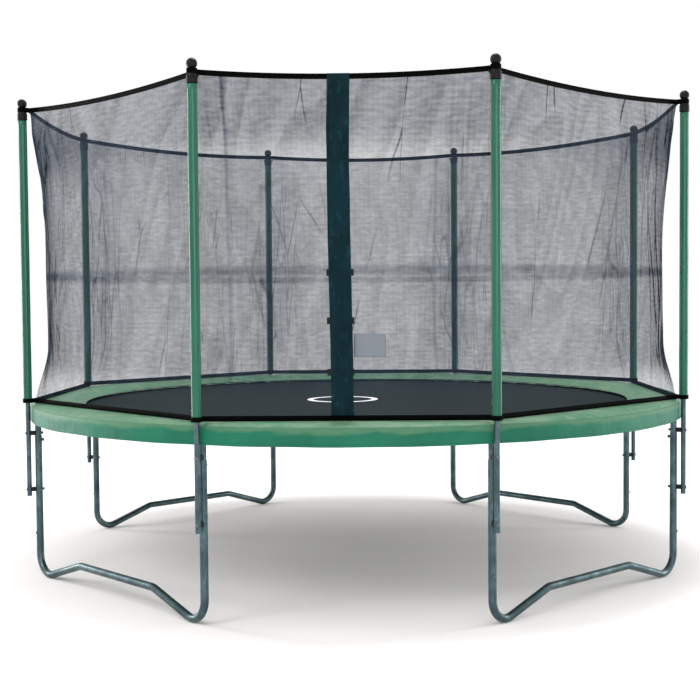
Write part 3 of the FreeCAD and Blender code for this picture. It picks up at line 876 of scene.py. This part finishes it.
def make_pad():
    """Padded cover: a crowned ring, pulled in at the eight seams, with soft puckers."""
    columns = 1080
    middle_z = (PAD_LOW + PAD_TOP) / 2
    half = (PAD_TOP - PAD_LOW) / 2
    width = PAD_OUTER_R - PAD_INNER_R
    lip_drop = PAD_LOW - MAT_TOP - PAD_LIP_CLEAR
    profile = []
    steps = 16
    for k in range(steps + 1):
        profile.append((k / steps, 1))
    for k in range(steps + 1):
        profile.append((1 - k / steps, -1))
    points = []
    uvs = []
    for across, side in profile:
        edge = min(across, 1 - across) * width
        roll = PAD_INNER_ROLL if across < 0.5 else PAD_OUTER_ROLL
        fall = math.sqrt(max(0.0, 1 - (1 - min(edge / roll, 1)) ** 2))
        for i in range(columns):
            angle = 2 * math.pi * i / columns
            radius = PAD_INNER_R + width * across
            place = polar(radius, angle, 0)
            seam = bell(seam_distance(angle), 0.012)
            lump = 0.0016 * rumple(place.x * 5, place.y * 5, 0.3)
            pucker = 0.0022 * rumple(angle * 42, across * 2.2, 1.7) * (0.4 + 0.6 * bell(edge, 0.05))
            crown = 0.0015 * math.sin(math.pi * across)
            thick = half * (0.93 * fall + 0.07)
            if side > 0:
                height = middle_z + thick + (crown + lump + pucker) * fall - 0.005 * seam * fall
            else:
                height = middle_z - thick + 0.002 * fall + 0.002 * seam
            height -= lip_drop * (1 - smooth(across * width, 0.0, PAD_LIP_WIDTH))
            radial = 0.0012 * rumple(angle * 30, across, 5.2) * (1 - fall)
            points.append(polar(radius + radial, angle, height))
            uvs.append((angle * PAD_MIDDLE_R, radius))
    faces = grid_faces(columns, len(profile), wrap_columns=True, wrap_rows=True)
    faces = [tuple(reversed(f)) for f in faces]
    pad = build("pad_cover", points, faces, PAD_VINYL, uvs)
    swell_pad(pad)
    on_frame(pad, "pad_vinyl", "safety_pad")


SWELL_FRAMES = 20
SWELL_CAP = 0.008
PAD_SLACK = 0.02
SEWN_LEAST = 0.02
SWELL_SETTINGS = {
    "quality": 4,
    "mass": 0.3,
    "tension_stiffness": 15,
    "compression_stiffness": 5,
    "shear_stiffness": 5,
    "bending_stiffness": 0.4,
    "use_pressure": True,
    "uniform_pressure_force": 4,
    "vertex_group_mass": "sewn",
    "shrink_min": -PAD_SLACK,
}


def swell_pad(pad):
    """Cloth pass: air pressure fills the cover between its sewn lines, a little slack puckers it."""
    sewn = pad.vertex_groups.new(name="sewn")
    before = [vertex.co.copy() for vertex in pad.data.vertices]
    for vertex in pad.data.vertices:
        radius = math.hypot(vertex.co.x, vertex.co.y)
        angle = math.atan2(vertex.co.y, vertex.co.x)
        rim = max(bell(radius - PAD_INNER_R, 0.006), bell(radius - PAD_OUTER_R, 0.006))
        under = 1.0 if vertex.co.z < (PAD_LOW + PAD_TOP) / 2 else 0.0
        hold = max(rim, under, bell(seam_distance(angle), 0.010))
        if hold > SEWN_LEAST:
            sewn.add([vertex.index], hold, "REPLACE")
    swell = pad.modifiers.new("swell", "CLOTH")
    for name, value in SWELL_SETTINGS.items():
        setattr(swell.settings, name, value)
    swell.settings.effector_weights.gravity = 0
    swell.collision_settings.use_collision = False
    swell.point_cache.frame_start = 1
    swell.point_cache.frame_end = SWELL_FRAMES
    for step in range(1, SWELL_FRAMES + 1):
        bpy.context.scene.frame_set(step)
    graph = bpy.context.evaluated_depsgraph_get()
    swollen = pad.evaluated_get(graph).to_mesh()
    after = [vertex.co.copy() for vertex in swollen.vertices]
    pad.evaluated_get(graph).to_mesh_clear()
    pad.modifiers.remove(swell)
    bpy.context.scene.frame_set(1)
    for vertex, old, new in zip(pad.data.vertices, before, after):
        move = new - old
        if move.length > SWELL_CAP:
            move *= SWELL_CAP / move.length
        vertex.co = old + move


def make_skirt():
    """Skirt sewn under the pad's outer edge: shallow folds, a hem and slack between poles."""
    columns = 1440
    rows = 14
    base_r = PAD_OUTER_R + 0.0009
    points = []
    uvs = []
    for j in range(rows):
        drop = j / (rows - 1)
        for i in range(columns):
            angle = 2 * math.pi * i / columns
            free = smooth(seam_distance(angle), 0.03, 0.20)
            fold = 0.5 + 0.5 * rumple(angle * 13, drop * 0.6, 2.0)
            tight = 0.5 + 0.5 * rumple(angle * 55, drop * 1.4, 6.0)
            out = (0.0085 * fold + 0.0030 * tight) * free * smooth(drop, 0.0, 0.45)
            out += 0.0022 * smooth(drop, 0.0, 0.1)
            dip = 0.004 * rumple(angle * 6, 0, 9.0) * drop * free
            z = SKIRT_TOP - 0.003 + (SKIRT_LOW + 0.002 - SKIRT_TOP + 0.003) * drop + dip
            points.append(polar(base_r + out, angle, z))
            uvs.append((angle * base_r, z))
    faces = grid_faces(columns, rows, wrap_columns=True)
    skirt = solidify(build("skirt_cloth", points, faces, SKIRT_FABRIC, uvs), 0.0012)
    on_frame(skirt, "skirt_fabric", "pad_skirt")
    hem_path = []
    for point in points[(rows - 2) * columns:(rows - 1) * columns:2]:
        outward = Vector((point.x, point.y, 0)).normalized()
        hem_path.append(point - UP * 0.002 + outward * 0.0016)
    hem = strap("skirt_hem", hem_path, [UP] * len(hem_path), 0.010, 0.0012, SKIRT_FABRIC, True)
    on_frame(hem, "skirt_fabric")


# ---- net and bands

def band_point(i, s, z, inset=0.0):
    """Point on the straight line between the corners of face i, s from 0 to 1."""
    start = polar(BAND_R, pole_angle(i), z)
    end = polar(BAND_R, pole_angle(i) + face_angle(i), z)
    along = (end - start).normalized()
    outward = along.cross(UP)
    return start.lerp(end, s) - outward * inset


def top_sag(s):
    return TOP_BAND_SAG * 4 * s * (1 - s)


def top_band_z(s):
    return TOP_BAND_Z - top_sag(s)


def bottom_band_z(s):
    return (BOTTOM_BAND_LOW + BOTTOM_BAND_TOP) / 2


def band_loop(z_of, inset):
    """Closed path round all eight faces, with softly turned corners."""
    path = []
    steps = 30
    turn = 0.006
    for i in range(POLES):
        for k in range(steps):
            s = turn + (1 - 2 * turn) * k / (steps - 1)
            path.append(band_point(i, s, z_of(s), inset))
    return path


def post_loop(i, z, reach, corner_drop, wrap_r):
    """Short strap sewn on the band at its corner, round the pole and back."""
    centre = pole_axis(i)
    out = polar(1, pole_angle(i), 0)
    side = Vector((-out.y, out.x, 0))
    corner = polar(BAND_R, pole_angle(i), z)
    path = []
    for sign, face in ((-1, face_angle(i - 1)), (1, face_angle(i))):
        along = (polar(BAND_R, pole_angle(i) + sign * face, z) - corner).normalized()
        off = sign * along.cross(UP) * 0.0012
        sewn = corner + along * reach + off - UP * corner_drop
        leave = corner + along * 0.010 + off
        meet = centre + UP * z + side * sign * wrap_r - out * 0.004
        leg = [sewn, sewn.lerp(leave, 0.5)]
        leg += [leave.lerp(meet, smooth(k / 5, 0, 1)) for k in range(6)]
        path.append(leg)
    arc = []
    for k in range(1, 12):
        turn = -math.pi / 2 + math.pi * k / 12
        arc.append(centre + out * wrap_r * math.cos(turn) + side * wrap_r * math.sin(turn) + UP * z)
    full = path[0] + arc + list(reversed(path[1]))
    return strap("loop", full, [UP] * len(full), 0.022, 0.0016, WEBBING)


def make_bands():
    """Top and bottom webbing, each one closed band, tied to the poles by short loops."""
    for name, z_of, node in (("top_band", top_band_z, "top_webbing"),
                             ("bottom_band", bottom_band_z, "bottom_webbing")):
        path = band_loop(z_of, BAND_THICK / 2)
        band = strap(name, path, [UP] * len(path), BAND_HEIGHT, BAND_THICK, WEBBING, True)
        on_frame(band, "black_webbing", node)
    for name, z, reach, drop, wrap_r in (
            ("top_loops", TOP_BAND_Z + 0.001, 0.034, 0.004, 0.0235),
            ("bottom_loops", bottom_band_z(0) + 0.001, 0.036, 0.0, SLEEVE_R + 0.0022)):
        loops = [post_loop(i, z, reach, drop, wrap_r) for i in range(POLES)]
        on_frame(join(name, loops), "black_webbing")


NET_BAND_R = BAND_R - 0.006
WAIST_POST_R = 1.757
WAIST_MID_R = 1.716
WAIST_TOP_Z = 1.62
WAIST_LOW_Z = 1.24
NET_LOW_Z = BOTTOM_BAND_LOW - 0.007


def waist(z):
    """How far the net is drawn in at a height, from 0 at its bands to 1 at its waist."""
    if z > WAIST_TOP_Z:
        t = min((TOP_BAND_Z - z) / (TOP_BAND_Z - WAIST_TOP_Z), 1.0)
        return math.sin(t * math.pi / 2) ** 0.9 if t > 0 else 0.0
    return smooth(z, NET_LOW_Z - 0.02, WAIST_LOW_Z) if z < WAIST_LOW_Z else 1.0


NET_COVER_NEAR = 0.445
NET_COVER_FAR = 0.335
NET_COVER_AT_TOP = 0.25
FRONT_FACES = (POLES - 1, 0, 1)
OPEN_LEAST = 0.16
SIDE_POSTS = (POLES - 1, 2)
GATHER_WIDTH = 0.17
SIDE_GATHER_WIDTH = 0.30
FOLD_PITCH = 0.055
POST_GATHER = (0.25, 0.25, 1.0, 0.6, 0.6, 0.6, 0.6, 1.0)


def net_shape(i, s, z):
    """Where the net of face i lies at s and z, and how strongly it is gathered there."""
    start = polar(NET_BAND_R, pole_angle(i), z)
    end = polar(NET_BAND_R, pole_angle(i) + face_angle(i), z)
    run = (end - start).length
    from_mid = abs(2 * s - 1)
    mid_r = NET_BAND_R * math.cos(face_angle(i) / 2) if i == 0 else WAIST_MID_R
    radius = mid_r + (WAIST_POST_R - mid_r) * (from_mid ** 2)
    drawn = polar(radius, pole_angle(i) + face_angle(i) * s, z)
    place = start.lerp(end, s).lerp(drawn, waist(z))
    from_post = min(s, 1 - s) * run
    post = i if s < 0.5 else (i + 1) % POLES
    gather = bell(from_post - 0.03, SIDE_GATHER_WIDTH if post in SIDE_POSTS else GATHER_WIDTH)
    gather *= 0.25 + 0.75 * waist(z)
    gather *= POST_GATHER[post]
    loose = smooth(z, NET_LOW_Z, NET_LOW_Z + 0.09)
    loose *= 1 - smooth(z, TOP_BAND_Z - 0.16, TOP_BAND_Z - 0.02)
    at_entry = bell((s - 0.485) * run, 0.10) if i == 0 else 0.0
    outward = Vector((place.x, place.y, 0)).normalized()
    drift = from_post / FOLD_PITCH + 1.8 * rumple(from_post * 6, z * 1.6, post * 3.1)
    ridge = math.sin(2 * math.pi * drift) * smooth(rumple(z * 1.1, post * 5.3, 1.0), -0.45, 0.35)
    swell = rumple(s * run * 2.3 + i * 5.0, z * 1.9, 4.0)
    slant = rumple(s * run * 3.0 + z * 2.2 + i * 4.0, z * 1.2 - s * run * 1.2, 6.0)
    push = 0.008 * ridge * gather + (0.016 * swell + 0.010 * slant) * (1 - 0.6 * gather)
    push *= loose * (1 - 0.85 * at_entry)
    return place + outward * push, gather


def net_seam(i, s, z):
    """Doubled cloth: the join of the two widths and the upright joins beside the entry."""
    run = 2 * NET_BAND_R * math.sin(face_angle(i) / 2)
    seam = 1 - smooth(abs(z - NET_SEAM_Z), 0.012, 0.022)
    seam = max(seam, 1 - smooth(z, BOTTOM_BAND_LOW, BOTTOM_BAND_LOW + 0.012))
    if i % 2 == 0:
        seam = max(seam, bell(s * run - 0.112, 0.008), 0.4 * bell((1 - s) * run - 0.17, 0.007))
    return seam


def net_cover(angle, z):
    """Share of light the mesh stops: more on the entry's side, most at its upper end."""
    near = 0.5 - 0.5 * math.sin(angle)
    cover = NET_COVER_FAR + (NET_COVER_NEAR - NET_COVER_FAR) * near
    return cover + NET_COVER_AT_TOP * near * smooth(z, 2.08, 2.26)


def wander(run, z):
    """Sideways drift of the knitted lines where the cloth is creased."""
    broad = 0.030 * rumple(run * 0.9, z * 1.1, 2.0)
    return broad + 0.012 * rumple(run * 3.0, z * 3.2, 5.0) + 0.005 * rumple(run * 9.0, z * 9.0, 8.0)


def net_openness(i, z):
    """Share of the cover that is kept: little on the front faces just above the pad."""
    if i not in FRONT_FACES:
        return 1.0
    return OPEN_LEAST + (1 - OPEN_LEAST) * smooth(z, 1.02, 1.17)


def make_net_width(name, low_of, high_of, rows, node):
    """One width of mesh as a continuous tube round the eight faces."""
    per_face = 120
    columns = per_face * POLES
    points = []
    uvs = []
    fields = {"gather": [], "seam": [], "cover": [], "open": []}
    for j in range(rows):
        for c in range(columns):
            i, k = divmod(c, per_face)
            s = k / per_face
            z = low_of(s) + (high_of(s) - low_of(s)) * j / (rows - 1)
            place, gather = net_shape(i, s, z)
            points.append(place)
            run = c / columns * 2 * math.pi * NET_BAND_R
            uvs.append((run + wander(run, z), z + 0.4 * wander(z, run)))
            fields["gather"].append(gather)
            fields["seam"].append(net_seam(i, s, z))
            fields["cover"].append(net_cover(pole_angle(i) + face_angle(i) * s, z))
            fields["open"].append(net_openness(i, z))
    faces = grid_faces(columns, rows, wrap_columns=True)
    net = build(name, points, faces, NET_MESH, uvs, fields)
    net.visible_shadow = False
    on_frame(net, "net_mesh", node)
    return net


def net_top_z(s):
    return top_band_z(s) - BAND_HEIGHT / 2 + 0.003


def net_seam_z(s):
    return NET_SEAM_Z


def net_low_z(s):
    return NET_LOW_Z


def make_net():
    upper = make_net_width("net_upper_width", net_seam_z, net_top_z, 64, "net_upper")
    lower = make_net_width("net_lower_width", net_low_z, net_seam_z, 50, "net_lower")


# ---- entry

def entry_y(out):
    """Y of a surface that lies this far outside the bands of the entry face."""
    return -(BAND_R * math.cos(OPEN_FACE / 2) + out)


FLAP_LOW, FLAP_TOP = node_span("entry_flap", 2)
FLAP_X = sum(node_span("entry_flap", 0)) / 2
FLAP_WIDTH = node_size("entry_flap", 0)
FLAP_OUT = -node_span("entry_flap", 1)[1] - BAND_R * math.cos(OPEN_FACE / 2)


def make_flap():
    """Entry flap: a long hemmed strip with soft creases, leaning a little."""
    columns = 25
    rows = 240
    points = []
    uvs = []
    for j in range(rows):
        up = j / (rows - 1)
        z = FLAP_LOW + (FLAP_TOP - FLAP_LOW) * up
        lean = 0.006 - 0.012 * smooth(up, 0.0, 0.75) + 0.004 * smooth(up, 0.8, 1.0)
        for i in range(columns):
            across = i / (columns - 1) - 0.5
            edge_wave = 0.0016 * rumple(z * 6, across * 2, 3.0)
            x = FLAP_X + lean + across * FLAP_WIDTH + edge_wave
            hang = smooth(up, 0.0, 0.06) * (1 - smooth(up, 0.93, 1.0))
            fold = rumple(across * 4, z * 5 + across * 3, 1.0) * 0.0035
            crease = rumple(across * 9 + z * 14, z * 17, 7.0) * 0.0018
            close = 0.008 * smooth(up, 0.955, 0.985)
            y = entry_y(FLAP_OUT - close) + (fold + crease) * hang
            points.append((x, y, z))
            uvs.append((across * FLAP_WIDTH, z))
    flap = solidify(build("flap_cloth", points, grid_faces(columns, rows), FLAP_FABRIC, uvs), 0.0012)
    on_frame(flap, "flap_fabric", "entry_flap")
    hems = []
    for side in (0, columns - 1):
        set_in = Vector((0.004 if side == 0 else -0.004, -0.0012, 0))
        path = [Vector(points[j * columns + side]) + set_in for j in range(0, rows, 3)]
        hems.append(strap("hem", path, [X_AXIS] * len(path), 0.009, 0.0010, FLAP_FABRIC))
    hem = join("flap_hems", hems)
    on_frame(hem, "flap_fabric")


def make_zip():
    """Zip: two tapes and two rows of moulded teeth that mesh."""
    low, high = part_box("entry_zip")
    x = (low[0] + high[0]) / 2
    y = low[1] + 0.0008
    length = high[2] - low[2]
    steps = 60
    tapes = []
    for side in (-1, 1):
        path = [Vector((x + side * 0.0082, y, low[2] + length * k / steps)) for k in range(steps + 1)]
        tapes.append(strap("tape", path, [X_AXIS] * len(path), 0.0135, 0.0008, WEBBING))
    tape = join("zip_tapes", tapes)
    on_frame(tape, "black_plastic", "entry_zip")
    pitch = 0.004
    shell = bmesh.new()
    for k in range(int(length / pitch)):
        side = 1 if k % 2 else -1
        place = Matrix.Translation((x + side * 0.0012, y - 0.0006, low[2] + (k + 0.5) * pitch))
        size = Matrix.Diagonal((0.0048, 0.0016, pitch * 0.85, 1))
        bmesh.ops.create_icosphere(shell, subdivisions=1, radius=0.62, matrix=place @ size)
    on_frame(from_shell("zip_teeth", shell, TEETH), "black_plastic")


def make_patch():
    """Plain sewn patch beside the entry, with nothing printed on it."""
    centre_x = FLAP_X + FLAP_WIDTH / 2 + 0.085
    low_z, high_z = 1.22, 1.325
    width = 0.15
    columns, rows = 20, 14
    points = []
    uvs = []
    run = 2 * NET_BAND_R * math.sin(OPEN_FACE / 2)
    for j in range(rows):
        z = low_z + (high_z - low_z) * j / (rows - 1)
        for i in range(columns):
            x = centre_x + (i / (columns - 1) - 0.5) * width
            place = net_shape(0, x / run + 0.5, z)[0]
            points.append(place + Vector((0, -0.003, 0)))
            uvs.append((x, z))
    patch = solidify(build("blank_patch", points, grid_faces(columns, rows), PATCH_FABRIC, uvs), 0.0008)
    on_frame(patch, "net_mesh")


# ---- stage

def make_stage():
    """Pale floor, white surroundings and broad soft lights."""
    mesh = bpy.data.meshes.new("floor")
    size = 60.0
    mesh.from_pydata([(-size, -size, 0), (size, -size, 0), (size, size, 0), (-size, size, 0)],
                     [], [(0, 1, 2, 3)])
    mesh.materials.append(FLOOR_WHITE)
    add_object("floor", mesh)
    world = bpy.data.worlds.new("studio")
    bpy.context.scene.world = world
    world.use_nodes = True
    world.node_tree.nodes["Background"].inputs["Color"].default_value = (1, 1, 1, 1)
    world.node_tree.nodes["Background"].inputs["Strength"].default_value = 1.0
    for name, place, width, height, power in (
            ("key", (-5.0, -6.5, 6.5), 3.0, 3.0, 200.0),
            ("overhead", (0.5, 0.5, 8.0), 2.4, 2.4, 220.0),
            ("front", (2.0, -9.5, 2.6), 6.0, 3.0, 160.0),
            ("left_edge", (-7.5, 2.0, 2.2), 1.4, 4.0, 260.0),
            ("right_edge", (7.5, 1.0, 2.2), 1.4, 4.0, 170.0)):
        light = bpy.data.lights.new(name, "AREA")
        light.shape = "RECTANGLE"
        light.size = width
        light.size_y = height
        light.energy = power
        lamp = add_object(name, light)
        lamp.location = place
        aim = Vector((0, 0, 1.2)) - Vector(place)
        lamp.rotation_euler = aim.to_track_quat("-Z", "Y").to_euler()
    view = bpy.context.scene.view_settings
    view.view_transform = "Standard"
    view.look = "None"


def make_camera():
    """Camera at the height of an adult's eyes, in front of the entry."""
    yaw, pitch, roll = -0.031, -0.0437, -0.0084
    ahead = Vector((math.sin(yaw) * math.cos(pitch), math.cos(yaw) * math.cos(pitch), math.sin(pitch)))
    right = Vector((math.cos(yaw), -math.sin(yaw), 0))
    above = right.cross(ahead)
    side = right * math.cos(roll) + above * math.sin(roll)
    top = above * math.cos(roll) - right * math.sin(roll)
    turn = Matrix((side, top, -ahead)).transposed().to_4x4()
    data = bpy.data.cameras.new("camera")
    data.sensor_width = 36.0
    data.lens = 63.89
    camera = add_object("camera", data)
    camera.matrix_world = Matrix.Translation((0.1908, -7.2638, 1.4962)) @ turn
    bpy.context.scene.camera = camera


make_camera()
finish_cad_nodes()
make_sleeves()
make_caps()
make_springs()
make_mat()
make_pad()
make_skirt()
make_bands()
make_net()
make_flap()
make_zip()
make_patch()
make_stage()
